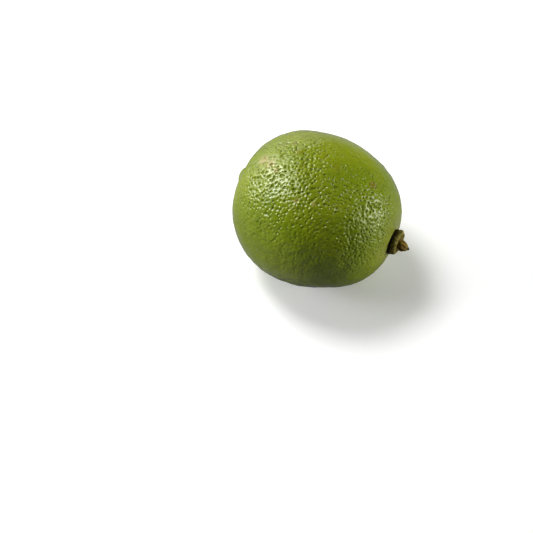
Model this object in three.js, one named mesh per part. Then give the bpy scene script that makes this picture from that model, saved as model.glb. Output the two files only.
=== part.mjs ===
// A whole fresh lime lying on its side as picked: the fruit, the dried calyx button at its
// stalk end, and the short stub of stalk that stands out of the calyx.
//
// Millimetres, +Z up. The fruit's axis runs along X, with the stalk end towards +X and the
// blossom end, with its low nipple, towards -X. The origin is the middle of the small flat
// spot that the fruit rests on.
import * as THREE from "three";
import { mergeVertices } from "three/addons/utils/BufferGeometryUtils.js";

// ---------------------------------------------------------------- driving dimensions
const fruitLength = 54.1; // of the spheroid, before its two ends are flattened
const fruitDiameter = 49;

const stalkEndFlat = { depth: 0.95, spread: 14 };
const blossomEndFlat = { depth: 1.45, spread: 22 };

// Directions from the fruit's middle are given in degrees: "along" is the angle from the stalk
// end, and "around" is the turn about the axis, from the top towards +Y.
const nipple = { along: 175.1, around: 56, height: 1.9, spread: 7.7 };
const nippleFurrow = { depth: 0.5, fromNipple: 14.5, spread: 5.5 };

// Broad swells and flats that keep the fruit from being a true spheroid. "rise" is how far the
// middle of the swell stands out, negative for a flat.
const swells = [
  { along: 38, around: 56, spread: 20, rise: 0.5 },
  { along: 78, around: 56, spread: 26, rise: -0.3 },
  { along: 132, around: 56, spread: 24, rise: 0.85 },
  { along: 65, around: 231, spread: 22.5, rise: -1.15 },
  { along: 46, around: 223, spread: 12, rise: 0.35 },
  { along: 125, around: 236, spread: 26, rise: 0.3 },
  { along: 84, around: 145, spread: 26, rise: -0.25 },
  { along: 96, around: 330, spread: 28, rise: 0.2 },
  { along: 120, around: 290, spread: 20, rise: -0.3 },
];

const restSpot = { sink: 0.7, blend: 0.02 }; // how deep the flat spot cuts, and its soft edge

const calyxSeatRadius = 2.8; // flat face on the fruit that the calyx grows from
const calyxRootRadius = 2.5;
const calyxRimRadius = 3.9;
const calyxHeight = 2.9;
const sepalCount = 5;
const tallestSepal = 305; // its turn about the axis, from the top towards +Y
const stubSeatRadius = 1.9; // flat face on the calyx that the stalk stub grows from
const stubSeatHeight = 2.2;
const stubRadius = 1.6;
const stubLength = 3.6;

// How finely the surfaces are divided.
const fruitSides = 80;
const fruitRows = 44;
const rowCrowding = 0.22; // crowds the rows towards the two ends
const calyxSides = 60;
const stubSides = 30;

// ---------------------------------------------------------------- small helpers
function radians(degrees) {
  return (degrees * Math.PI) / 180;
}

function bell(distance, spread, power = 2) {
  return Math.exp(-(Math.abs(distance / spread) ** power));
}

// 0 below zero, the value itself above it, with a soft bend of the given half width between.
function softFloor(value, blend) {
  if (value <= -blend) return 0;
  if (value >= blend) return value;
  return (value + blend) ** 2 / (4 * blend);
}

function directionAt({ along, around }) {
  const [a, b] = [radians(along), radians(around)];
  return new THREE.Vector3(Math.cos(a), Math.sin(a) * Math.sin(b), Math.sin(a) * Math.cos(b));
}

// LatheGeometry turns its profile about Y. This sends Y to X, exactly, with no rounding.
const latheAxisToX = new THREE.Matrix4().set(0, 1, 0, 0, 0, 0, 1, 0, 1, 0, 0, 0, 0, 0, 0, 1);

// A closed solid turned about X. The profile holds [distance along X, radius] pairs, and
// starts and ends on the axis.
function turnedSolid(profile, sides) {
  const outline = profile.map(([x, radius]) => new THREE.Vector2(radius, x));
  const turned = new THREE.LatheGeometry(outline, sides).applyMatrix4(latheAxisToX);
  turned.deleteAttribute("normal");
  turned.deleteAttribute("uv");
  return mergeVertices(turned, 1e-4);
}

// Moves every vertex of a geometry: move(point) changes the point in place.
function moveVertices(geometry, move) {
  const position = geometry.getAttribute("position");
  const point = new THREE.Vector3();
  for (let i = 0; i < position.count; i++) {
    point.fromBufferAttribute(position, i);
    move(point);
    position.setXYZ(i, point.x, point.y, point.z);
  }
  geometry.computeVertexNormals();
  return geometry;
}

// ---------------------------------------------------------------- the fruit
// Distance from the fruit's middle to the skin of the plain turned form, at an angle from
// the stalk end.
function turnedRadius(angle) {
  const alongAxis = Math.cos(angle) / (fruitLength / 2);
  const acrossAxis = Math.sin(angle) / (fruitDiameter / 2);
  return (
    1 / Math.hypot(alongAxis, acrossAxis) -
    stalkEndFlat.depth * bell(angle, radians(stalkEndFlat.spread)) -
    blossomEndFlat.depth * bell(Math.PI - angle, radians(blossomEndFlat.spread))
  );
}

const nippleDirection = directionAt(nipple);

function nippleRise(direction) {
  const away = direction.angleTo(nippleDirection);
  const furrow = bell(away - radians(nippleFurrow.fromNipple), radians(nippleFurrow.spread));
  return nipple.height * bell(away, radians(nipple.spread), 3) - nippleFurrow.depth * furrow;
}

const swellDirections = swells.map(directionAt);

// The swells fade out near the stalk end, so that the calyx's seat stays flat.
function swellRise(direction) {
  const fromStalkEnd = Math.acos(direction.x);
  const fade = THREE.MathUtils.smoothstep(fromStalkEnd, radians(8), radians(22));
  return swells.reduce((sum, swell, i) => {
    const away = direction.angleTo(swellDirections[i]);
    return sum + fade * swell.rise * bell(away, radians(swell.spread));
  }, 0);
}

const seatAngle = Math.asin(calyxSeatRadius / turnedRadius(radians(5)));
const seatX = turnedRadius(seatAngle) * Math.cos(seatAngle);

// The plain turned form, from the blossom end to the edge of the calyx's seat, and across it.
function fruitProfile() {
  const profile = [[-turnedRadius(Math.PI), 0]];
  for (let row = 1; row < fruitRows; row++) {
    const even = Math.PI - ((Math.PI - seatAngle) * row) / fruitRows;
    const angle = even - rowCrowding * Math.sin(2 * even);
    profile.push([turnedRadius(angle) * Math.cos(angle), turnedRadius(angle) * Math.sin(angle)]);
  }
  profile.push([seatX, calyxSeatRadius]);
  profile.push([seatX, 0]);
  return profile;
}

const underside = new THREE.Vector3(0, 0, -1);
const axisHeight = fruitDiameter / 2 + swellRise(underside) - restSpot.sink;

function makeFruit() {
  const direction = new THREE.Vector3();
  const skin = moveVertices(turnedSolid(fruitProfile(), fruitSides), (point) => {
    direction.copy(point).normalize();
    const rise = nippleRise(direction) + swellRise(direction);
    if (point.x < seatX) point.addScaledVector(direction, rise);
    point.z = softFloor(point.z + axisHeight, restSpot.blend) - axisHeight;
  });
  const peel = new THREE.MeshStandardMaterial({ color: 0x6f8a22, roughness: 0.38 });
  return new THREE.Mesh(skin, peel);
}

// ---------------------------------------------------------------- calyx and stalk stub
// A dried button that flares out over the peel, with a lobed rim round a sunken face.
function makeCalyx() {
  const profile = [
    [0, 0],
    [0, calyxRootRadius],
    [0.35, calyxRootRadius + 0.1],
    [0.6, 3.05],
    [0.85, 3.6],
    [1.25, calyxRimRadius],
    [1.9, calyxRimRadius],
    [2.5, 3.72],
    [calyxHeight, 3.35],
    [calyxHeight - 0.05, 2.9],
    [2.5, 2.4],
    [stubSeatHeight, stubSeatRadius],
    [stubSeatHeight, 0],
  ];
  const button = moveVertices(turnedSolid(profile, calyxSides), (point) => {
    const fromTallest = Math.atan2(point.y, point.z) - radians(tallestSepal);
    const clearOfRoot = Math.hypot(point.y, point.z) - calyxRootRadius - 0.1;
    const outward = Math.max(0, clearOfRoot / (calyxRimRadius - calyxRootRadius));
    const lobe = Math.cos(sepalCount * fromTallest);
    const stretch = 1 + 0.05 * outward * lobe;
    const height = 0.12 * lobe + 0.4 * Math.cos(fromTallest);
    const lift = outward * (point.x / calyxHeight) * height;
    point.set(point.x + lift, point.y * stretch, point.z * stretch);
  });
  const driedSepal = new THREE.MeshStandardMaterial({ color: 0x4a431a, roughness: 0.8 });
  return new THREE.Mesh(button, driedSepal);
}

// A short bud of dried stalk that narrows, ribbed and a little bent, to a blunt point.
function makeStalkStub() {
  const profile = [
    [0, 0],
    [0, 0.9 * stubRadius],
    [0.5, stubRadius],
    [1.3, stubRadius],
    [2.0, 0.88 * stubRadius],
    [2.5, 0.68 * stubRadius],
    [2.9, 0.44 * stubRadius],
    [3.25, 0.26 * stubRadius],
    [stubLength, 0.17 * stubRadius],
    [stubLength, 0],
  ];
  const bud = moveVertices(turnedSolid(profile, stubSides), (point) => {
    const around = Math.atan2(point.y, point.z);
    const upStub = point.x / stubLength;
    const ribs = 1 + 0.07 * upStub * Math.cos(5 * around + 2 * upStub);
    const bend = -0.5 * upStub ** 2;
    point.set(point.x, point.y * ribs + bend, point.z * ribs + bend);
  });
  const driedStalk = new THREE.MeshStandardMaterial({ color: 0x7a5a26, roughness: 0.85 });
  return new THREE.Mesh(bud, driedStalk);
}

// ---------------------------------------------------------------- the whole lime
const lime = new THREE.Group();
lime.position.z = axisHeight;

const fruit = makeFruit();
fruit.name = "fruit";
lime.add(fruit);

const stalkEnd = new THREE.Group();
stalkEnd.position.x = seatX;
lime.add(stalkEnd);

const calyx = makeCalyx();
calyx.name = "calyx";
stalkEnd.add(calyx);

const stalkStub = makeStalkStub();
stalkStub.name = "stalk_stub";
stalkStub.position.x = stubSeatHeight;
stalkEnd.add(stalkStub);

export default lime;
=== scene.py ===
"""A whole lime on a plain stage: its dimpled waxy peel, dried calyx and stub of stalk.

Everything is in metres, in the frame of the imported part: +Z is up, the fruit's axis runs along
X with the stalk end towards +X, and the origin is the middle of the spot that it rests on.
"""
import math
import random

import bmesh
import bpy
import numpy as np
from bpy.props import FloatProperty, FloatVectorProperty, IntProperty, PointerProperty
from mathutils import Matrix, Vector, kdtree, noise


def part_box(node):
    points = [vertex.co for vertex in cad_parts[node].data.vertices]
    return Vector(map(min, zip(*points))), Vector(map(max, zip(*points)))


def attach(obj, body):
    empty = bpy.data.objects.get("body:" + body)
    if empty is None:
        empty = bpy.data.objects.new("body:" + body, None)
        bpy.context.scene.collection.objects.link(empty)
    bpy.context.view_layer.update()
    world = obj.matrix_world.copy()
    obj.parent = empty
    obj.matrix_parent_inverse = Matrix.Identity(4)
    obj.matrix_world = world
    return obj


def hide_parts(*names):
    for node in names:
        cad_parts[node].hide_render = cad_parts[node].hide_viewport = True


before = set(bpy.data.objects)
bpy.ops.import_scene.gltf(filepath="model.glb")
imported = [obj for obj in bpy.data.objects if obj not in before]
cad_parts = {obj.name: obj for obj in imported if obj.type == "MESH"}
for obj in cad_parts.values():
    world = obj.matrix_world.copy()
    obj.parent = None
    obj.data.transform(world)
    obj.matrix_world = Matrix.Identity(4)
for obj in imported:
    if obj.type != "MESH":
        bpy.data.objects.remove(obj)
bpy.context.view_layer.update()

bl_info = {
    "name": "Lime",
    "version": (1, 0, 0),
    "blender": (4, 5, 0),
    "location": "View3D > Sidebar > Lime",
    "description": "Builds a whole lime with its calyx and stalk stub, and a stage for it",
    "category": "Add Mesh",
}

MM = 0.001
SEAT_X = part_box("calyx")[0].x  # the flat face at the stalk end, where the calyx stands
STUB_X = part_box("stalk_stub")[0].x  # the flat face of the calyx, where the stub stands

# ------------------------------------------------------------------ form of the fruit
# Directions from the fruit's middle: "along" is the angle from the stalk end, and "around" is
# the turn about the axis, from the top towards +Y. Both are in degrees.
STALK_END_FLAT = {"depth": 0.95 * MM, "spread": 14}
BLOSSOM_END_FLAT = {"depth": 1.45 * MM, "spread": 22}
NIPPLE = {"along": 175.1, "around": 56, "height": 1.9 * MM, "spread": 7.7}
NIPPLE_FURROW = {"depth": 0.5 * MM, "from_nipple": 14.5, "spread": 5.5}
SWELLS = (
    {"along": 38, "around": 56, "spread": 20, "rise": 0.5 * MM},
    {"along": 78, "around": 56, "spread": 26, "rise": -0.3 * MM},
    {"along": 132, "around": 56, "spread": 24, "rise": 0.85 * MM},
    {"along": 65, "around": 231, "spread": 22.5, "rise": -1.15 * MM},
    {"along": 46, "around": 223, "spread": 12, "rise": 0.35 * MM},
    {"along": 125, "around": 236, "spread": 26, "rise": 0.3 * MM},
    {"along": 84, "around": 145, "spread": 26, "rise": -0.25 * MM},
    {"along": 96, "around": 330, "spread": 28, "rise": 0.2 * MM},
    {"along": 120, "around": 290, "spread": 20, "rise": -0.3 * MM},
)
NIPPLE_SMOOTHNESS = {"share": 0.6, "spread": 9}  # how much shallower the pores are on the nipple
CALYX_SEAT = {"smooth_to": 6.5, "rough_from": 9.5}  # degrees: no relief under the calyx

# Soft lumps of three widths, each with its share of the lump height and a seed of its own.
LUMPS = (
    {"width": 11 * MM, "share": 0.5, "seed": 1},
    {"width": 4.5 * MM, "share": 0.33, "seed": 2},
    {"width": 1.9 * MM, "share": 0.27, "seed": 6},
)

PORE_TRIES = 60000  # darts thrown at the skin to place the pores
PORE_CROWDING = {"full_at": 15, "none_from": 80}  # degrees from the stalk end
PORE_GAP_RANGE = (0.7, 1.25)  # least and most of one pore's gap, as a share of the usual gap
PORE_WIDTH = {"least": 0.22, "more_at_stalk": 0.07, "by_chance": 0.12}  # as shares of the gap
PORE_DEPTH = {"least": 0.3, "by_chance": 0.7}  # as shares of the depth at a place
PORE_STRETCH = {"least": 0.5, "by_chance": 0.45}  # a pore's width as a share of its length
PORES_IN_MESH = 0.6  # share of the pores' depth that the mesh has
PORES_IN_MATERIAL = 0.9  # share that the material adds, which sharpens them

# How deep the pores are, as a share of the pore depth: that of a plain side, and what some sides
# add to it, or take from it where "deeper" is negative.
PLAIN_ROUGHNESS = 0.45
ROUGH_SIDES = (
    {"along": 108, "around": 348, "spread": 42, "deeper": 1.0},
    {"along": 42, "around": 352, "spread": 24, "deeper": 0.45},
    {"along": 36, "around": 308, "spread": 28, "deeper": 0.25},
    {"along": 92, "around": 42, "spread": 26, "deeper": -0.35},
)
PORE_LIE = np.array((0.74, 0.43, 0.53))  # the way that most of the long pores point
PORE_WARP = 0.12 * MM  # how far the pores' outlines wander from smooth ovals
REST_SPOT = {"sink": 0.7 * MM, "blend": 0.02 * MM}

# ------------------------------------------------------------------ finish of the peel
CLOUD_SIZE = 14 * MM
GRAIN_SIZE = 0.7 * MM
SPECKLE_SIZE = 0.5 * MM
GRAIN_HEIGHT = {"coarse": 0.065 * MM, "fine": 0.012 * MM}
TINT = {"ripe_clouds": 0.6, "deep_clouds": 0.7, "freckles": 0.35, "pores": 0.48}  # as shares
GLOSS = {"smoothest": 0.11, "roughest": 0.2}
WAX_IOR = 1.38
RAGGED = {"side": 0.3, "halo": 0.8, "blemish": 1.4}  # how far a mark's edge wanders, in radii

# Patches and marks on the peel: where they are, how wide, and how much they show.
# Yellower patch over the upper side: partly the peel's own ripening, partly painted light that
# brightens the top rim.
RIPE_SIDE_AND_PAINTED_LIGHT = {"along": 98, "around": 45, "width": 24 * MM, "strength": 0.5}
# Darker green patch over the right side near the stalk end: painted shade that darkens that side.
PAINTED_SHADE_SIDE = {"along": 36, "around": 20, "width": 17 * MM, "strength": 0.18}
TAN_SCARS = (
    {"along": 131, "around": 351, "width": 2.8 * MM, "strength": 0.75},
    {"along": 122, "around": 347, "width": 2.5 * MM, "strength": 0.75},
    {"along": 115, "around": 342, "width": 1.5 * MM, "strength": 0.6},
    {"along": 91, "around": 325, "width": 1.1 * MM, "strength": 0.7},
    {"along": 79, "around": 327, "width": 1.0 * MM, "strength": 0.7},
)
BROWN_SPOTS = (
    {"along": 48, "around": 8, "width": 1.7 * MM, "strength": 0.95},
    {"along": 43, "around": 357, "width": 0.6 * MM, "strength": 0.6},
    {"along": 121, "around": 10, "width": 1.3 * MM, "strength": 0.45},
    {"along": 113, "around": 11, "width": 1.6 * MM, "strength": 0.4},
    {"along": 106, "around": 3, "width": 2.2 * MM, "strength": 0.35},
    {"along": 111, "around": 22, "width": 1.2 * MM, "strength": 0.25},
    {"along": 76, "around": 0, "width": 1.8 * MM, "strength": 0.3},
    {"along": 100, "around": 150, "width": 1.3 * MM, "strength": 0.6},
    {"along": 140, "around": 215, "width": 0.9 * MM, "strength": 0.7},
    {"along": 62, "around": 248, "width": 0.8 * MM, "strength": 0.7},
)
# Ring of peel round the calyx: partly real browning, partly painted light where the calyx shades
# the peel from bounce and sheen.
CALYX_HALO_AND_LIGHT = {"width": 12 * MM, "strength": 0.6}

# ------------------------------------------------------------------ lights of the stage
# A light's turn is from the camera's right, anticlockwise seen from above, and its rise is from
# level, both in degrees. Its size is across and up, in metres. Its fill is the brightness that
# lights surfaces, and its shine the brightness that they mirror.
LIGHTS = {
    "Overhead light": {"turn": 145, "rise": 62, "size": (0.24, 0.24), "fill": 15.8},
    "Sky light": {"turn": 178, "rise": 56, "size": (0.26, 0.26), "shine": 9},
    "Window light": {"turn": 160, "rise": 32, "size": (0.24, 0.24), "shine": 20},
    "Window glow": {"turn": 148, "rise": 30, "size": (0.6, 0.6), "shine": 4.3},
    "Left light": {"turn": 182, "rise": 17, "size": (0.24, 0.36), "fill": 11.8},
    "Back light": {"turn": 106, "rise": 11, "size": (0.5, 0.3), "fill": 5, "shine": 1.2},
    "Low light": {"turn": -1, "rise": 5, "size": (0.24, 0.16), "fill": 35},
    "Side light": {"turn": -6, "rise": 15, "size": (0.29, 0.29), "shine": 6.2},
    "Side core": {"turn": -7, "rise": 16, "size": (0.16, 0.16), "shine": 5},
    "Side glow": {"turn": -20, "rise": 12, "size": (0.4, 0.4), "shine": 1.6},
}
LIGHTS_AIM = Vector((0, 0, 24 * MM))  # the middle of the lime
FILL_DISTANCE = 0.6
SHINE_DISTANCE = 0.618  # just behind, as a ray finds only one of two lamps in one plane


# ------------------------------------------------------------------ settings
class PeelForm(bpy.types.PropertyGroup):
    """Sizes of the fruit and of the relief in its peel."""

    length: FloatProperty(
        name="Length", description="Length of the fruit before its ends are flattened",
        default=54.1 * MM, unit="LENGTH")
    diameter: FloatProperty(
        name="Diameter", description="Width of the fruit across its middle",
        default=49 * MM, unit="LENGTH")
    grid: IntProperty(
        name="Grid", description="Cuts along each edge of the cube that the fruit is made from",
        default=127, min=8, max=127)
    pore_gap: FloatProperty(
        name="Pore gap", description="Usual distance between oil pores at the blossom end",
        default=1.15 * MM, unit="LENGTH")
    pore_gap_at_stalk: FloatProperty(
        name="Pore gap at stalk", description="Usual distance between oil pores near the stalk",
        default=0.9 * MM, unit="LENGTH")
    pore_depth: FloatProperty(
        name="Pore depth", description="Depth of a deep oil pore where the roughness is 1",
        default=0.35 * MM, unit="LENGTH")
    lump_height: FloatProperty(
        name="Lump height", description="Height of the soft lumps that cover the fruit",
        default=0.22 * MM, unit="LENGTH")


class PeelColours(bpy.types.PropertyGroup):
    """Colours of the peel."""

    green: FloatVectorProperty(
        name="Green", description="Main colour of the peel",
        default=(0.150, 0.206, 0.006), size=3, min=0, max=1, subtype="COLOR")
    ripe_yellow: FloatVectorProperty(
        name="Ripe yellow", description="Peel that has begun to turn",
        default=(0.220, 0.258, 0.009), size=3, min=0, max=1, subtype="COLOR")
    deep_green: FloatVectorProperty(
        name="Deep green", description="Darker cloudy patches of the peel",
        default=(0.086, 0.143, 0.005), size=3, min=0, max=1, subtype="COLOR")
    # Darker green at the bottom of the pores: partly the oil glands' own colour, partly painted
    # shade in the pits.
    pore_green_and_shade: FloatVectorProperty(
        name="Pore green", description="Bottom of the oil pores",
        default=(0.055, 0.092, 0.003), size=3, min=0, max=1, subtype="COLOR")
    scar_tan: FloatVectorProperty(
        name="Scar tan", description="Rubbed, healed places on the peel",
        default=(0.37, 0.29, 0.10), size=3, min=0, max=1, subtype="COLOR")
    # Partly the browned peel round the calyx, partly painted light that makes it paler.
    pale_halo_and_light: FloatVectorProperty(
        name="Halo pale", description="Paler peel round the calyx",
        default=(0.22, 0.222, 0.046), size=3, min=0, max=1, subtype="COLOR")
    spot_brown: FloatVectorProperty(
        name="Spot brown", description="Small brown spots",
        default=(0.155, 0.092, 0.010), size=3, min=0, max=1, subtype="COLOR")


class CalyxForm(bpy.types.PropertyGroup):
    """Sizes and colours of the dried calyx button."""

    root_radius: FloatProperty(
        name="Root radius", description="Radius where the calyx grows from the fruit",
        default=2.5 * MM, unit="LENGTH")
    rim_radius: FloatProperty(
        name="Rim radius", description="Radius of the overhanging rim",
        default=3.9 * MM, unit="LENGTH")
    height: FloatProperty(
        name="Height", description="Height of the rim above the peel",
        default=2.4 * MM, unit="LENGTH")
    sepals: IntProperty(
        name="Sepals", description="Number of lobes round the rim", default=5, min=3, max=7)
    tallest_sepal: FloatProperty(
        name="Tallest sepal", description="Turn of the tallest lobe about the axis",
        default=math.radians(100), subtype="ANGLE", unit="ROTATION")
    widest_sepal: FloatProperty(
        name="Widest sepal", description="Turn of the lobe that spreads over the peel",
        default=math.radians(236), subtype="ANGLE", unit="ROTATION")
    # Near black: painted shade in the crevice and under the rim, and also the dark mottling of the
    # sepals.
    dark: FloatVectorProperty(
        name="Dark", description="Crevices and the underside of the rim",
        default=(0.019, 0.010, 0.0025), size=3, min=0, max=1, subtype="COLOR")
    olive: FloatVectorProperty(
        name="Olive", description="Dried sepals",
        default=(0.165, 0.142, 0.023), size=3, min=0, max=1, subtype="COLOR")
    rim_tan: FloatVectorProperty(
        name="Rim tan", description="Worn edge of the rim",
        default=(0.27, 0.24, 0.042), size=3, min=0, max=1, subtype="COLOR")


class StubForm(bpy.types.PropertyGroup):
    """Sizes and colours of the stub of stalk."""

    radius: FloatProperty(
        name="Radius", description="Radius of the stub near its root",
        default=1.6 * MM, unit="LENGTH")
    length: FloatProperty(
        name="Length", description="Length of the stub", default=3.6 * MM, unit="LENGTH")
    golden: FloatVectorProperty(
        name="Golden", description="Ribs of the dried stalk",
        default=(0.28, 0.19, 0.027), size=3, min=0, max=1, subtype="COLOR")
    rusty: FloatVectorProperty(
        name="Rusty", description="Grooves between the ribs",
        default=(0.085, 0.040, 0.008), size=3, min=0, max=1, subtype="COLOR")
    tip: FloatVectorProperty(
        name="Tip", description="Withered tip",
        default=(0.012, 0.008, 0.005), size=3, min=0, max=1, subtype="COLOR")


class StageForm(bpy.types.PropertyGroup):
    """Camera, floor and lights."""

    azimuth: FloatProperty(
        name="Azimuth", description="Turn of the camera about the lime, from the front",
        default=math.radians(26.5), subtype="ANGLE", unit="ROTATION")
    elevation: FloatProperty(
        name="Elevation", description="Height of the camera above the floor, as an angle",
        default=math.radians(53.2), subtype="ANGLE", unit="ROTATION")
    lens: FloatProperty(
        name="Lens", description="Focal length of the camera in millimetres", default=100)
    distance: FloatProperty(
        name="Distance", description="From the camera to what it aims at",
        default=462.7 * MM, unit="LENGTH")
    aim: FloatVectorProperty(
        name="Aim", description="Point that the camera looks at",
        default=(-7.62 * MM, -19.35 * MM, 13.49 * MM), size=3, subtype="XYZ", unit="LENGTH")
    floor_tone: FloatProperty(
        name="Floor tone", description="Paleness of the floor as the camera sees it",
        default=0.97, min=0, max=1)
    floor_bounce: FloatProperty(
        name="Floor bounce", description="Paleness of the floor as it lights the lime",
        default=0.27, min=0, max=1)
    floor_glow: FloatProperty(
        name="Floor glow", description="Light that the camera sees the floor give of itself",
        default=0.135)
    room_light: FloatProperty(
        name="Room light", description="Even light from all round", default=0.02)


# ------------------------------------------------------------------ small helpers
def bell(distance, spread, power=2):
    return np.exp(-np.abs(distance / spread) ** power)


def smooth_step(value, low, high):
    t = np.clip((value - low) / (high - low), 0.0, 1.0)
    return t * t * (3 - 2 * t)


def direction_at(place):
    """Unit vector from the fruit's middle for an "along" and "around" in degrees."""
    along, around = math.radians(place["along"]), math.radians(place["around"])
    across = math.sin(along)
    return np.array((math.cos(along), across * math.sin(around), across * math.cos(around)))


def angle_from(directions, towards):
    return np.arccos(np.clip(directions @ towards, -1.0, 1.0))


def soft_floor(value, blend):
    """0 below zero, the value itself above it, with a soft bend of that half width between."""
    bend = (value + blend) ** 2 / (4 * blend)
    return np.where(value <= -blend, 0.0, np.where(value >= blend, value, bend))


def field(points, wavelength, seed):
    """Smooth noise from about -1 to 1 at each point, different for each seed."""
    shift = Vector((17.3, 9.1, 23.7)) * seed
    return np.array([noise.noise(Vector(p) / wavelength + shift) for p in points]) * 2


def coordinates(mesh):
    return np.array([v.co for v in mesh.verts])


def move_to(mesh, points):
    for vert, point in zip(mesh.verts, points):
        vert.co = point


def turned(profile, steps):
    """A closed solid turned about X from (distance along X, radius) pairs, ends on the axis."""
    mesh = bmesh.new()
    verts = [mesh.verts.new((x, 0.0, radius)) for x, radius in profile]
    edges = [mesh.edges.new(pair) for pair in zip(verts, verts[1:])]
    bmesh.ops.spin(mesh, geom=verts + edges, cent=(0, 0, 0), axis=(1, 0, 0),
                   angle=math.tau, steps=steps, use_merge=True)
    bmesh.ops.remove_doubles(mesh, verts=mesh.verts[:], dist=1e-7)
    bmesh.ops.recalc_face_normals(mesh, faces=mesh.faces[:])
    return mesh


def rounded(points, per_span):
    """The points joined by a smooth curve through them all (a Catmull-Rom spline)."""
    p = [np.array(q, float) for q in points]
    p = [2 * p[0] - p[1], *p, 2 * p[-1] - p[-2]]
    curve = []
    for a, b, c, d in zip(p, p[1:], p[2:], p[3:]):
        for t in np.arange(per_span) / per_span:
            curve.append(0.5 * (2 * b + (c - a) * t + (2 * a - 5 * b + 4 * c - d) * t**2
                                + (3 * b - a - 3 * c + d) * t**3))
    curve.append(p[-2])
    return [(x, max(radius, 0.0)) for x, radius in curve]


def finished(mesh, name, material, node, point_values, face_vectors=None):
    """Makes the mesh an object that rides on the body and stands for its CAD node."""
    data = bpy.data.meshes.new(name)
    mesh.to_mesh(data)
    mesh.free()
    for label, values in point_values.items():
        layer = data.attributes.new(label, "FLOAT", "POINT")
        layer.data.foreach_set("value", np.asarray(values, np.float32))
    for label, values in (face_vectors or {}).items():
        layer = data.attributes.new(label, "FLOAT_VECTOR", "FACE")
        layer.data.foreach_set("vector", np.asarray(values, np.float32).ravel())
    data.polygons.foreach_set("use_smooth", [True] * len(data.polygons))
    data.materials.append(material)
    piece = bpy.data.objects.new(name, data)
    bpy.context.scene.collection.objects.link(piece)
    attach(piece, "root")
    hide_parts(node)
    return piece


# ------------------------------------------------------------------ form of the peel
def turned_radius(angle, form):
    """Distance from the fruit's middle to the skin of the plain turned form."""
    along_axis = np.cos(angle) / (form.length / 2)
    across_axis = np.sin(angle) / (form.diameter / 2)
    stalk_flat = bell(angle, math.radians(STALK_END_FLAT["spread"]))
    blossom_flat = bell(math.pi - angle, math.radians(BLOSSOM_END_FLAT["spread"]))
    return (1 / np.hypot(along_axis, across_axis)
            - STALK_END_FLAT["depth"] * stalk_flat
            - BLOSSOM_END_FLAT["depth"] * blossom_flat)


def nipple_rise(directions):
    away = angle_from(directions, direction_at(NIPPLE))
    furrow_angle = away - math.radians(NIPPLE_FURROW["from_nipple"])
    return (NIPPLE["height"] * bell(away, math.radians(NIPPLE["spread"]), 3)
            - NIPPLE_FURROW["depth"] * bell(furrow_angle, math.radians(NIPPLE_FURROW["spread"])))


def swell_rise(directions):
    """Broad swells and flats, which fade out near the stalk end."""
    from_stalk_end = np.arccos(np.clip(directions[..., 0], -1.0, 1.0))
    fade = smooth_step(from_stalk_end, math.radians(8), math.radians(22))
    return fade * sum(
        swell["rise"] * bell(angle_from(directions, direction_at(swell)),
                             math.radians(swell["spread"]))
        for swell in SWELLS)


def axis_height(form):
    """How high the fruit's axis lies above the spot that it rests on."""
    underside = np.array((0.0, 0.0, -1.0))
    return form.diameter / 2 + float(swell_rise(underside)) - REST_SPOT["sink"]


def skin_points(directions, form):
    """Points of the smooth skin, from the fruit's middle."""
    along = np.arccos(np.clip(directions[:, 0], -1.0, 1.0))
    radius = turned_radius(along, form) + nipple_rise(directions) + swell_rise(directions)
    return directions * radius[:, None]


def near_stalk_end(directions):
    """1 at the stalk end, falling to 0 before the middle of the fruit."""
    along = np.degrees(np.arccos(np.clip(directions[:, 0], -1.0, 1.0)))
    return 1 - smooth_step(along, PORE_CROWDING["full_at"], PORE_CROWDING["none_from"])


def pore_gap_at(directions, form):
    """Usual distance between pores: they crowd together towards the stalk end."""
    crowding = near_stalk_end(directions)
    return form.pore_gap + (form.pore_gap_at_stalk - form.pore_gap) * crowding


def scatter_pores(form, draw):
    """Throws darts at the skin and keeps those that are clear of the pores already there."""
    directions = np.array([[draw.gauss(0, 1) for _ in range(3)] for _ in range(PORE_TRIES)])
    directions /= np.linalg.norm(directions, axis=1)[:, None]
    gaps = pore_gap_at(directions, form) * [draw.uniform(*PORE_GAP_RANGE) for _ in directions]
    points = skin_points(directions, form)
    cell = PORE_GAP_RANGE[1] * form.pore_gap
    kept, grid = [], {}
    around = [(i, j, k) for i in (-1, 0, 1) for j in (-1, 0, 1) for k in (-1, 0, 1)]
    for n, (point, gap) in enumerate(zip(points, gaps)):
        key = tuple(int(math.floor(c / cell)) for c in point)
        near = (m for i, j, k in around
                for m in grid.get((key[0] + i, key[1] + j, key[2] + k), ()))
        if all(np.dot(point - points[m], point - points[m]) > gap * gap for m in near):
            grid.setdefault(key, []).append(n)
            kept.append(n)
    return points[kept], gaps[kept]


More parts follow.
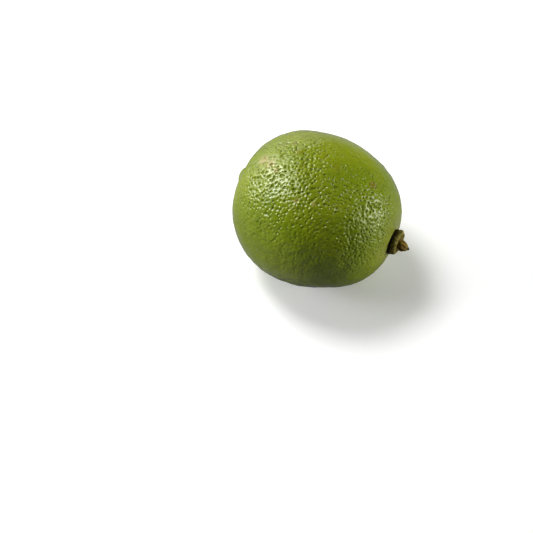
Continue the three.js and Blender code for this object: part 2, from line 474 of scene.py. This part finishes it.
class Pores:
    """The oil pores: their centres on the skin, and how wide, deep and long each one is."""

    def __init__(self, form, draw):
        self.centres, gaps = scatter_pores(form, draw)
        directions = self.centres / np.linalg.norm(self.centres, axis=1)[:, None]
        roughness = PLAIN_ROUGHNESS + sum(
            side["deeper"] * bell(angle_from(directions, direction_at(side)),
                                  math.radians(side["spread"]))
            for side in ROUGH_SIDES)
        chance = np.array([[draw.random() for _ in range(6)] for _ in self.centres])
        self.widths = gaps * (PORE_WIDTH["least"]
                              + PORE_WIDTH["more_at_stalk"] * near_stalk_end(directions)
                              + PORE_WIDTH["by_chance"] * chance[:, 0])
        self.depths = form.pore_depth * roughness * (
            PORE_DEPTH["least"] + PORE_DEPTH["by_chance"] * chance[:, 1])
        self.stretch = PORE_STRETCH["least"] + PORE_STRETCH["by_chance"] * chance[:, 2]
        slant = PORE_LIE + 2 * (chance[:, 3:] - 0.5)
        slant -= directions * (slant * directions).sum(axis=1)[:, None]
        self.slant = slant / np.linalg.norm(slant, axis=1)[:, None]
        self.tree = kdtree.KDTree(len(self.centres))
        for n, centre in enumerate(self.centres):
            self.tree.insert(centre, n)
        self.tree.balance()

    def nearest(self, points, count):
        return np.array([[found[1] for found in self.tree.find_n(point, count)]
                         for point in points])

    def press(self, points):
        """How deep the pores press the skin in at each point."""
        near = self.nearest(points, 4)
        warped = points + PORE_WARP * np.column_stack(
            [field(points, 1.3 * MM, seed) for seed in (11, 12, 13)])
        offset = warped[:, None, :] - self.centres[near]
        along_slant = (offset * self.slant[near]).sum(axis=2)
        reach = (offset**2).sum(axis=2) - (1 - self.stretch[near]**2) * along_slant**2
        return (np.exp(-reach / self.widths[near]**2) * self.depths[near]).sum(axis=1)


def peel_mesh(form):
    """The fruit: a cube cut into a fine grid, swelled to the skin and pressed with pores."""
    draw = random.Random(7)
    mesh = bmesh.new()
    bmesh.ops.create_cube(mesh, size=2.0)
    bmesh.ops.subdivide_edges(mesh, edges=mesh.edges[:], cuts=form.grid, use_grid_fill=True)
    even_grid = np.tan(coordinates(mesh) * math.pi / 4)
    directions = even_grid / np.linalg.norm(even_grid, axis=1)[:, None]
    skin = skin_points(directions, form)

    away_from_calyx = smooth_step(angle_from(directions, np.array((1.0, 0.0, 0.0))),
                                  math.radians(CALYX_SEAT["smooth_to"]),
                                  math.radians(CALYX_SEAT["rough_from"]))
    lumps = sum(lump["share"] * field(skin, lump["width"], lump["seed"]) for lump in LUMPS)
    pores = Pores(form, draw)
    on_nipple = bell(angle_from(directions, direction_at(NIPPLE)),
                     math.radians(NIPPLE_SMOOTHNESS["spread"]), 4)
    pores_left = 1 - NIPPLE_SMOOTHNESS["share"] * on_nipple
    rise = away_from_calyx * (form.lump_height * lumps
                              - PORES_IN_MESH * pores_left * pores.press(skin))
    points = skin + directions * rise[:, None]

    height = axis_height(form)
    points[:, 0] = np.minimum(points[:, 0], SEAT_X)
    points[:, 2] = soft_floor(points[:, 2] + height, REST_SPOT["blend"])
    move_to(mesh, points)

    # Each face keeps the two pores nearest to it, so that the material can finish their shape.
    mesh.verts.index_update()
    corners = np.array([[v.index for v in face.verts] for face in mesh.faces])
    middles = points[corners].mean(axis=1) - np.array((0, 0, height))
    near_pores = {}
    for rank, pore in enumerate(pores.nearest(middles, 2).T, start=1):
        centre = pores.centres[pore]
        lowered = centre * (1 - 0.5 * pores.depths[pore] / np.linalg.norm(centre, axis=1))[:, None]
        near_pores[f"pore_{rank}"] = lowered + np.array((0, 0, height))
        near_pores[f"pore_{rank}_form"] = np.column_stack(
            (pores.widths[pore], pores.depths[pore], 1 - pores.stretch[pore]**2))
        near_pores[f"pore_{rank}_slant"] = pores.slant[pore]
    return mesh, {"pores_left": pores_left * away_from_calyx}, near_pores


# ------------------------------------------------------------------ node building
class Nodes:
    """Adds nodes to a tree, each with its inputs given by name as values or as sockets."""

    def __init__(self, tree):
        self.tree = tree

    def add(self, kind, inputs=None, **settings):
        node = self.tree.nodes.new(kind)
        for key, value in settings.items():
            setattr(node, key, value)
        for key, value in (inputs or {}).items():
            self.feed(node.inputs[key], value)
        return node

    def feed(self, socket, value):
        if isinstance(value, bpy.types.NodeSocket):
            self.tree.links.new(value, socket)
        elif isinstance(value, (int, float)) or len(value) == len(socket.default_value):
            socket.default_value = value
        else:
            socket.default_value = (*value, 1.0)

    def math(self, operation, first, second=0.0, clamp=False):
        return self.add("ShaderNodeMath", {0: first, 1: second},
                        operation=operation, use_clamp=clamp).outputs[0]

    def vector(self, operation, first, second):
        node = self.add("ShaderNodeVectorMath", {0: first, 1: second}, operation=operation)
        return node.outputs["Value" if operation == "DOT_PRODUCT" else "Vector"]

    def mix(self, amount, first, second, blend="MIX"):
        node = self.add("ShaderNodeMix", {0: amount, 6: first, 7: second},
                        data_type="RGBA", blend_type=blend)
        return node.outputs[2]

    def ramp(self, value, low, high, to_low=0.0, to_high=1.0):
        node = self.add("ShaderNodeMapRange",
                        {"Value": value, "From Min": low, "From Max": high,
                         "To Min": to_low, "To Max": to_high}, interpolation_type="SMOOTHSTEP")
        return node.outputs[0]

    def noise(self, vector, wavelength, detail=2.0, roughness=0.5, distortion=0.0):
        node = self.add("ShaderNodeTexNoise",
                        {"Vector": vector, "Scale": 1 / wavelength, "Detail": detail,
                         "Roughness": roughness, "Distortion": distortion})
        return node.outputs[0]

    def attribute(self, name, part="Fac"):
        return self.add("ShaderNodeAttribute", attribute_name=name).outputs[part]

    def place(self):
        return self.add("ShaderNodeTexCoord").outputs["Object"]

    def group(self, tree, inputs):
        node = self.add("ShaderNodeGroup", node_tree=tree)
        for key, value in inputs.items():
            self.feed(node.inputs[key], value)
        return node.outputs


def new_group(name, inputs, outputs):
    """An empty shader group with those sockets: name to (socket type, default value)."""
    tree = bpy.data.node_groups.new(name, "ShaderNodeTree")
    for label, (kind, default) in inputs.items():
        socket = tree.interface.new_socket(label, in_out="INPUT", socket_type=kind)
        if default is not None:
            socket.default_value = default
    for label, kind in outputs.items():
        tree.interface.new_socket(label, in_out="OUTPUT", socket_type=kind)
    nodes = Nodes(tree)
    start = nodes.add("NodeGroupInput")
    end = nodes.add("NodeGroupOutput")
    return tree, nodes, start.outputs, end.inputs


def new_material(name):
    material = bpy.data.materials.new(name)
    material.use_nodes = True
    nodes = Nodes(material.node_tree)
    shader = material.node_tree.nodes["Principled BSDF"]
    return material, nodes, shader


# ------------------------------------------------------------------ shared effects
def blotch_group():
    """Ragged round blotch: 1 inside, fading to 0 past its radius, for a place on a surface."""
    tree, nodes, given, result = new_group(
        "Blotch",
        {"Place": ("NodeSocketVector", None), "Centre": ("NodeSocketVector", None),
         "Radius": ("NodeSocketFloat", MM), "Ragged": ("NodeSocketFloat", 0.5)},
        {"Mask": "NodeSocketFloat"})
    distance = nodes.add("ShaderNodeVectorMath", {0: given["Place"], 1: given["Centre"]},
                         operation="DISTANCE").outputs["Value"]
    in_radii = nodes.math("DIVIDE", distance, given["Radius"])
    wander = nodes.math("SUBTRACT", nodes.noise(given["Place"], 0.9 * MM, 3, 0.6), 0.5)
    edge = nodes.math("ADD", in_radii, nodes.math("MULTIPLY", wander, given["Ragged"]))
    nodes.feed(result["Mask"], nodes.ramp(edge, 1.0, 0.35))
    return tree


def grain_group():
    """Fine uneven grain for any surface: a value about 0.5, at a given size."""
    tree, nodes, given, result = new_group(
        "Grain",
        {"Place": ("NodeSocketVector", None), "Scale": ("NodeSocketFloat", 1000.0)},
        {"Coarse": "NodeSocketFloat", "Fine": "NodeSocketFloat"})
    for label, factor, detail in (("Coarse", 1.0, 2.0), ("Fine", 3.7, 3.0)):
        scale = nodes.math("MULTIPLY", given["Scale"], factor)
        grain = nodes.add("ShaderNodeTexNoise",
                          {"Vector": given["Place"], "Scale": scale, "Detail": detail})
        nodes.feed(result[label], grain.outputs[0])
    return tree


def pores_group():
    """Oval pits about two given centres: how far they press the surface in, in metres.

    A form is (width, depth, how much longer the pit is along its slant than it is wide).
    """
    vector = "NodeSocketVector"
    tree, nodes, given, result = new_group(
        "Pores",
        {"Place": (vector, None),
         "Centre 1": (vector, None), "Form 1": (vector, None), "Slant 1": (vector, None),
         "Centre 2": (vector, None), "Form 2": (vector, None), "Slant 2": (vector, None)},
        {"Press": "NodeSocketFloat"})
    wander = nodes.add("ShaderNodeTexNoise", {"Vector": given["Place"], "Scale": 1 / (1.1 * MM),
                                              "Detail": 1.0}).outputs["Color"]
    wander = nodes.vector("SUBTRACT", wander, (0.5, 0.5, 0.5))
    place = nodes.vector("ADD", given["Place"],
                         nodes.vector("MULTIPLY", wander, (3 * PORE_WARP,) * 3))
    presses = []
    for pore in ("1", "2"):
        width, depth, longer = nodes.add(
            "ShaderNodeSeparateXYZ", {0: given["Form " + pore]}).outputs
        offset = nodes.vector("SUBTRACT", place, given["Centre " + pore])
        distance = nodes.vector("DOT_PRODUCT", offset, offset)
        along = nodes.vector("DOT_PRODUCT", offset, given["Slant " + pore])
        eased = nodes.math("MULTIPLY", longer, nodes.math("MULTIPLY", along, along))
        in_widths = nodes.math("DIVIDE", nodes.math("SUBTRACT", eased, distance),
                               nodes.math("MULTIPLY", width, width))
        presses.append(nodes.math("MULTIPLY", nodes.math("EXPONENT", in_widths), depth))
    nodes.feed(result["Press"], nodes.math("ADD", *presses))
    return tree


def surface_point(place, form):
    """Where a direction from the fruit's middle meets the skin, in the part's frame."""
    point = skin_points(direction_at(place)[None, :], form)[0]
    return Vector(point) + Vector((0, 0, axis_height(form)))


# ------------------------------------------------------------------ materials
def peel_material(form, colours, groups):
    """Waxy lime peel: cloudy greens, darker pores, tan scars and a few brown spots, with some
    painted light and shade: pores partly darkened as painted shade, a yellower upper side and a
    pale halo round the calyx that are partly painted light, and a darker green side that is
    painted shade.
    """
    material, nodes, shader = new_material("Lime peel")
    place = nodes.place()
    near_pores = {f"{label} {rank}": nodes.attribute(f"pore_{rank}{suffix}", "Vector")
                  for rank in (1, 2)
                  for label, suffix in (("Centre", ""), ("Form", "_form"), ("Slant", "_slant"))}
    press = nodes.group(groups["Pores"], {"Place": place, **near_pores})["Press"]
    press = nodes.math("MULTIPLY", press, nodes.attribute("pores_left"))
    pore = nodes.ramp(press, 0.1 * form.pore_depth, 0.85 * form.pore_depth)

    clouds = nodes.noise(place, CLOUD_SIZE, 3, 0.55)
    ripe = nodes.ramp(clouds, 0.45, 0.72, 0, TINT["ripe_clouds"])
    deep = nodes.ramp(clouds, 0.5, 0.25, 0, TINT["deep_clouds"])
    colour = nodes.mix(ripe, colours.green[:], colours.ripe_yellow[:])
    colour = nodes.mix(deep, colour, colours.deep_green[:])

    def marked(colour, centre, mark, ragged, tint, speckle=1.0):
        """The colour with the mark's tint over it."""
        mask = nodes.group(groups["Blotch"], {"Place": place, "Centre": centre,
                                              "Radius": mark["width"], "Ragged": ragged})["Mask"]
        amount = nodes.math("MULTIPLY", mask, mark["strength"])
        return nodes.mix(nodes.math("MULTIPLY", amount, speckle), colour, tint[:])

    # The yellower patch is partly painted light on the top rim; the darker green patch is painted
    # shade on the right side.
    for side, tint in ((RIPE_SIDE_AND_PAINTED_LIGHT, colours.ripe_yellow), (PAINTED_SHADE_SIDE, colours.deep_green)):
        colour = marked(colour, surface_point(side, form), side, RAGGED["side"], tint)

    grain = nodes.group(groups["Grain"], {"Place": place, "Scale": 1 / GRAIN_SIZE})
    freckles = nodes.ramp(grain["Coarse"], 0.35, 0.7, 0, TINT["freckles"])
    colour = nodes.mix(freckles, colour, colours.ripe_yellow[:])
    # Pits darkened by their depth: partly the glands' own green, partly painted shade.
    colour = nodes.mix(nodes.math("MULTIPLY", pore, TINT["pores"]), colour, colours.pore_green_and_shade[:])

    speckle = nodes.ramp(nodes.noise(place, SPECKLE_SIZE, 1), 0.36, 0.6, 0.35, 1.0)
    for blemishes, tint in ((TAN_SCARS, colours.scar_tan), (BROWN_SPOTS, colours.spot_brown)):
        for blemish in blemishes:
            colour = marked(colour, surface_point(blemish, form), blemish, RAGGED["blemish"],
                            tint, speckle)
    # Pale halo round the calyx: real browning with painted light over it.
    stalk_end = (SEAT_X, 0, axis_height(form))
    colour = marked(colour, stalk_end, CALYX_HALO_AND_LIGHT, RAGGED["halo"], colours.pale_halo_and_light)

    wrinkles = nodes.math(
        "ADD", nodes.math("MULTIPLY", grain["Coarse"], GRAIN_HEIGHT["coarse"]),
        nodes.math("MULTIPLY", grain["Fine"], GRAIN_HEIGHT["fine"]))
    height = nodes.math("SUBTRACT", wrinkles, nodes.math("MULTIPLY", press, PORES_IN_MATERIAL))
    # The fine relief fades towards the rim, where it would be seen edge-on as mere noise.
    facing = nodes.add("ShaderNodeLayerWeight", {"Blend": 0.5}).outputs["Facing"]
    bump = nodes.add("ShaderNodeBump", {"Height": height, "Distance": 1.0,
                                        "Strength": nodes.ramp(facing, 0.34, 0.78, 1.0, 0.1)})
    roughness = nodes.ramp(grain["Fine"], 0.3, 0.7, GLOSS["smoothest"], GLOSS["roughest"])
    nodes.feed(shader.inputs["Base Color"], colour)
    nodes.feed(shader.inputs["Roughness"], roughness)
    nodes.feed(shader.inputs["Normal"], bump.outputs[0])
    shader.inputs["IOR"].default_value = WAX_IOR
    return material


def calyx_material(form, groups):
    """Dried sepals: near-black painted shade in the crevice over the peel and under the rim, olive
    above with some dark mottling, and a worn tan rim.
    """
    material, nodes, shader = new_material("Dried calyx")
    place = nodes.place()
    rim = nodes.attribute("rim")
    above_peel = nodes.math("SUBTRACT", nodes.add("ShaderNodeSeparateXYZ", {0: place}).outputs[0],
                            SEAT_X)
    grain = nodes.group(groups["Grain"], {"Place": place, "Scale": 1 / (0.5 * MM)})
    # The lowest part of the calyx is painted near black as shade in the crevice over the peel.
    clear_of_crevice_shade = nodes.ramp(above_peel, 0.35 * MM, 1.05 * MM)
    mottled = nodes.math("MULTIPLY", clear_of_crevice_shade, nodes.ramp(grain["Coarse"], 0.25, 0.7))
    colour = nodes.mix(mottled, form.dark[:], form.olive[:])
    worn = nodes.math("MULTIPLY", rim, nodes.ramp(grain["Coarse"], 0.3, 0.65))
    colour = nodes.mix(worn, colour, form.rim_tan[:])
    bump = nodes.add("ShaderNodeBump", {"Height": grain["Fine"], "Distance": 0.15 * MM,
                                        "Strength": 0.8})
    nodes.feed(shader.inputs["Base Color"], colour)
    nodes.feed(shader.inputs["Roughness"], nodes.ramp(grain["Coarse"], 0.2, 0.8, 0.55, 0.85))
    shader.inputs["Specular IOR Level"].default_value = 0.15
    nodes.feed(shader.inputs["Normal"], bump.outputs[0])
    return material


def stub_material(form, groups):
    """Dried stalk: golden ribs, rusty grooves and a withered dark tip."""
    material, nodes, shader = new_material("Dried stalk")
    place = nodes.place()
    groove = nodes.attribute("groove")
    up_stub = nodes.math("SUBTRACT", nodes.add("ShaderNodeSeparateXYZ", {0: place}).outputs[0],
                         STUB_X)
    grain = nodes.group(groups["Grain"], {"Place": place, "Scale": 1 / (0.4 * MM)})
    rusty = nodes.math("ADD", groove, nodes.ramp(grain["Coarse"], 0.4, 0.8, 0, 0.5), clamp=True)
    colour = nodes.mix(rusty, form.golden[:], form.rusty[:])
    tip = nodes.ramp(up_stub, 0.82 * form.length, 0.96 * form.length)
    colour = nodes.mix(tip, colour, form.tip[:])
    bump = nodes.add("ShaderNodeBump", {"Height": grain["Fine"], "Distance": 0.12 * MM,
                                        "Strength": 0.8})
    nodes.feed(shader.inputs["Base Color"], colour)
    nodes.feed(shader.inputs["Roughness"], nodes.ramp(grain["Coarse"], 0.2, 0.8, 0.45, 0.7))
    shader.inputs["Specular IOR Level"].default_value = 0.12
    nodes.feed(shader.inputs["Normal"], bump.outputs[0])
    return material


def floor_material(form):
    """Plain pale floor, which looks paler to the camera than it does to the lime."""
    material, nodes, shader = new_material("Pale floor")
    place = nodes.place()
    seen = nodes.add("ShaderNodeLightPath").outputs["Is Camera Ray"]
    cloth = nodes.ramp(nodes.noise(place, 60 * MM), 0.3, 0.7, 0.995, 1.0)
    tone = nodes.math("MULTIPLY", cloth,
                      nodes.ramp(seen, 0.0, 1.0, form.floor_bounce, form.floor_tone))
    nodes.feed(shader.inputs["Base Color"],
               nodes.add("ShaderNodeCombineColor", {0: tone, 1: tone, 2: tone}).outputs[0])
    shader.inputs["Roughness"].default_value = 0.9
    shader.inputs["Specular IOR Level"].default_value = 0.2
    shader.inputs["Emission Color"].default_value = (1, 1, 1, 1)
    nodes.feed(shader.inputs["Emission Strength"], nodes.math("MULTIPLY", seen, form.floor_glow))
    return material


def shared_groups():
    """The shader groups by name, each built the first time that it is asked for."""
    makers = {"Blotch": blotch_group, "Grain": grain_group, "Pores": pores_group}
    return {name: bpy.data.node_groups.get(name) or make() for name, make in makers.items()}


# ------------------------------------------------------------------ calyx and stub
def calyx_mesh(form, axis_z):
    """The button: turned, then waved into sepals and wrinkled."""
    rim, top = form.rim_radius, form.height
    profile = rounded([
        (0.0, 0.0), (0.0, 0.6 * form.root_radius), (-0.05 * MM, form.root_radius),
        (-0.25 * MM, 0.85 * rim), (-0.2 * MM, 0.93 * rim), (0.2 * MM, 0.96 * rim),
        (0.7 * MM, 0.97 * rim), (1.2 * MM, rim), (1.7 * MM, 1.01 * rim),
        (top - 0.4 * MM, 0.97 * rim), (top, 0.86 * rim), (top - 0.05 * MM, 0.74 * rim),
        (2.25 * MM, 2.4 * MM), (2.1 * MM, 1.9 * MM), (2.1 * MM, 0.9 * MM), (2.1 * MM, 0.0)], 5)
    mesh = turned(profile, 180)
    points = coordinates(mesh)
    radius = np.hypot(points[:, 1], points[:, 2])
    around_axis = np.arctan2(points[:, 1], points[:, 2])
    around = around_axis - form.tallest_sepal
    outward = np.clip((radius - form.root_radius - 0.1 * MM)
                      / (form.rim_radius - form.root_radius), 0, None)
    up_side = np.clip(points[:, 0] / form.height, 0, 1)

    lobe = np.cos(form.sepals * around)
    stretch = 1 + 0.05 * outward * lobe
    lift = MM * outward * up_side * (0.1 * lobe + 0.3 * np.cos(around))
    wrinkle = field(np.column_stack((points[:, 0] * 0.35, points[:, 1], points[:, 2])),
                    0.55 * MM, 3)
    crumple = field(points, 1.4 * MM, 4)
    flare = (np.clip(np.cos(around_axis - form.widest_sepal), 0, None) ** 2
             * (1 - smooth_step(points[:, 0], 0.0, 1.6 * MM)))
    swell = 1 + outward * (0.13 * flare + 0.018 * wrinkle + 0.025 * crumple)
    worn = bell(points[:, 0] - top, 0.5 * MM) * bell(radius - 0.88 * rim, 0.42 * MM)

    points[:, 0] += lift + 0.07 * MM * outward * (wrinkle + crumple) * up_side + SEAT_X
    points[:, 1] *= stretch * swell
    points[:, 2] = points[:, 2] * stretch * swell + axis_z
    move_to(mesh, points)
    return mesh, worn


def stub_mesh(form, axis_z):
    """The stub: a turned bud with ribs and a withered tip, which leans down and to the front."""
    widest = form.radius
    profile = rounded([
        (0.0, 0.0), (0.0, 0.5 * widest), (0.0, 0.9 * widest), (0.5 * MM, widest),
        (1.3 * MM, 1.02 * widest), (2.0 * MM, 0.92 * widest), (2.5 * MM, 0.74 * widest),
        (2.9 * MM, 0.5 * widest), (3.25 * MM, 0.28 * widest), (form.length, 0.17 * widest),
        (form.length, 0.0)], 6)
    mesh = turned(profile, 120)
    points = coordinates(mesh)
    around = np.arctan2(points[:, 1], points[:, 2])
    up_stub = points[:, 0] / form.length
    crumple = field(points, 0.7 * MM, 5)
    ribs = np.cos(7 * around + 2 * up_stub + 0.8 * crumple)
    groove = np.clip(-ribs, 0, 1) * smooth_step(up_stub, 0.02, 0.2)
    width = 1 + smooth_step(up_stub, 0.0, 0.25) * (0.05 * ribs + 0.05 * crumple)
    lean = -MM * (0.22 + 0.3 * up_stub)
    points[:, 0] += STUB_X
    points[:, 1] = points[:, 1] * width + lean
    points[:, 2] = points[:, 2] * width + lean + axis_z
    move_to(mesh, points)
    return mesh, groove


# ------------------------------------------------------------------ stage
def view_axes(form):
    """Unit vectors from the aim point back to the camera, and to the camera's right and up."""
    turn, rise = form.azimuth, form.elevation
    back = Vector((math.sin(turn) * math.cos(rise), -math.cos(turn) * math.cos(rise),
                   math.sin(rise)))
    right = Vector((math.cos(turn), math.sin(turn), 0))
    return back, right, back.cross(right)


def add_camera(form):
    back, right, up = view_axes(form)
    camera = bpy.data.cameras.new("Camera")
    camera.lens = form.lens
    camera.clip_start = 0.01
    holder = bpy.data.objects.new("Camera", camera)
    turn = Matrix((right, up, back)).transposed()
    holder.matrix_world = Matrix.Translation(form.aim + back * form.distance) @ turn.to_4x4()
    bpy.context.scene.collection.objects.link(holder)
    bpy.context.scene.camera = holder


def add_softbox(name, light, form):
    """A light of the stage: a rectangular lamp for its fill, and one for its shine."""
    _, right, _ = view_axes(form)
    away = Vector((-right.y, right.x, 0))
    turn, rise = math.radians(light["turn"]), math.radians(light["rise"])
    towards = ((right * math.cos(turn) + away * math.sin(turn)) * math.cos(rise)
               + Vector((0, 0, math.sin(rise))))
    for part, distance in (("fill", FILL_DISTANCE), ("shine", SHINE_DISTANCE)):
        if part not in light:
            continue
        lamp = bpy.data.lights.new(f"{name} {part}", "AREA")
        lamp.shape = "RECTANGLE"
        lamp.size, lamp.size_y = light["size"]
        lamp.energy = light[part] * math.pi * lamp.size * lamp.size_y
        holder = bpy.data.objects.new(lamp.name, lamp)
        holder.visible_diffuse = part == "fill"
        holder.visible_glossy = part == "shine"
        holder.matrix_world = (Matrix.Translation(LIGHTS_AIM + towards * distance)
                               @ towards.to_track_quat("Z", "Y").to_matrix().to_4x4())
        bpy.context.scene.collection.objects.link(holder)


def add_floor(form):
    mesh = bmesh.new()
    bmesh.ops.create_grid(mesh, x_segments=1, y_segments=1, size=3.0)
    data = bpy.data.meshes.new("Floor")
    mesh.to_mesh(data)
    mesh.free()
    data.materials.append(floor_material(form))
    floor = bpy.data.objects.new("Floor", data)
    bpy.context.scene.collection.objects.link(floor)


def add_room_light(form):
    world = bpy.data.worlds.new("Room")
    world.use_nodes = True
    background = world.node_tree.nodes["Background"]
    background.inputs["Color"].default_value = (1, 1, 1, 1)
    background.inputs["Strength"].default_value = form.room_light
    bpy.context.scene.world = world


# ------------------------------------------------------------------ operators
class LIME_OT_peel(bpy.types.Operator):
    """Make the fruit with its dimpled peel"""

    bl_idname = "lime.peel"
    bl_label = "Make fruit"

    def execute(self, context):
        form, colours = context.scene.lime_peel, context.scene.lime_peel_colours
        mesh, point_values, face_vectors = peel_mesh(form)
        finished(mesh, "fruit_peel", peel_material(form, colours, shared_groups()),
                 "fruit", point_values, face_vectors)
        return {"FINISHED"}


class LIME_OT_calyx(bpy.types.Operator):
    """Make the dried calyx button"""

    bl_idname = "lime.calyx"
    bl_label = "Make calyx"

    def execute(self, context):
        form = context.scene.lime_calyx
        mesh, rim = calyx_mesh(form, axis_height(context.scene.lime_peel))
        finished(mesh, "calyx_button", calyx_material(form, shared_groups()),
                 "calyx", {"rim": rim})
        return {"FINISHED"}


class LIME_OT_stub(bpy.types.Operator):
    """Make the stub of stalk"""

    bl_idname = "lime.stub"
    bl_label = "Make stalk stub"

    def execute(self, context):
        form = context.scene.lime_stub
        mesh, groove = stub_mesh(form, axis_height(context.scene.lime_peel))
        finished(mesh, "stalk_bud", stub_material(form, shared_groups()),
                 "stalk_stub", {"groove": groove})
        return {"FINISHED"}


class LIME_OT_stage(bpy.types.Operator):
    """Make the camera, the floor and the lights"""

    bl_idname = "lime.stage"
    bl_label = "Make stage"

    def execute(self, context):
        form = context.scene.lime_stage
        add_camera(form)
        add_floor(form)
        add_room_light(form)
        for name, light in LIGHTS.items():
            add_softbox(name, light, form)
        context.scene.view_settings.view_transform = "Standard"
        return {"FINISHED"}


class LIME_PT_panel(bpy.types.Panel):
    """Lists the operators and their settings"""

    bl_label = "Lime"
    bl_space_type = "VIEW_3D"
    bl_region_type = "UI"
    bl_category = "Lime"

    def draw(self, context):
        scene = context.scene
        rows = (("lime.peel", (scene.lime_peel, scene.lime_peel_colours)),
                ("lime.calyx", (scene.lime_calyx,)),
                ("lime.stub", (scene.lime_stub,)),
                ("lime.stage", (scene.lime_stage,)))
        for operator, groups in rows:
            box = self.layout.box()
            box.operator(operator)
            for group in groups:
                for name in group.__annotations__:
                    box.prop(group, name)


CLASSES = (PeelForm, PeelColours, CalyxForm, StubForm, StageForm,
           LIME_OT_peel, LIME_OT_calyx, LIME_OT_stub, LIME_OT_stage, LIME_PT_panel)
SETTINGS = {"lime_peel": PeelForm, "lime_peel_colours": PeelColours, "lime_calyx": CalyxForm,
            "lime_stub": StubForm, "lime_stage": StageForm}


def register():
    for cls in CLASSES:
        bpy.utils.register_class(cls)
    for name, group in SETTINGS.items():
        setattr(bpy.types.Scene, name, PointerProperty(type=group))


def unregister():
    for name in SETTINGS:
        delattr(bpy.types.Scene, name)
    for cls in reversed(CLASSES):
        bpy.utils.unregister_class(cls)


def main():
    register()
    bpy.ops.lime.stage()
    bpy.ops.lime.peel()
    bpy.ops.lime.calyx()
    bpy.ops.lime.stub()


if __name__ == "__main__":
    main()
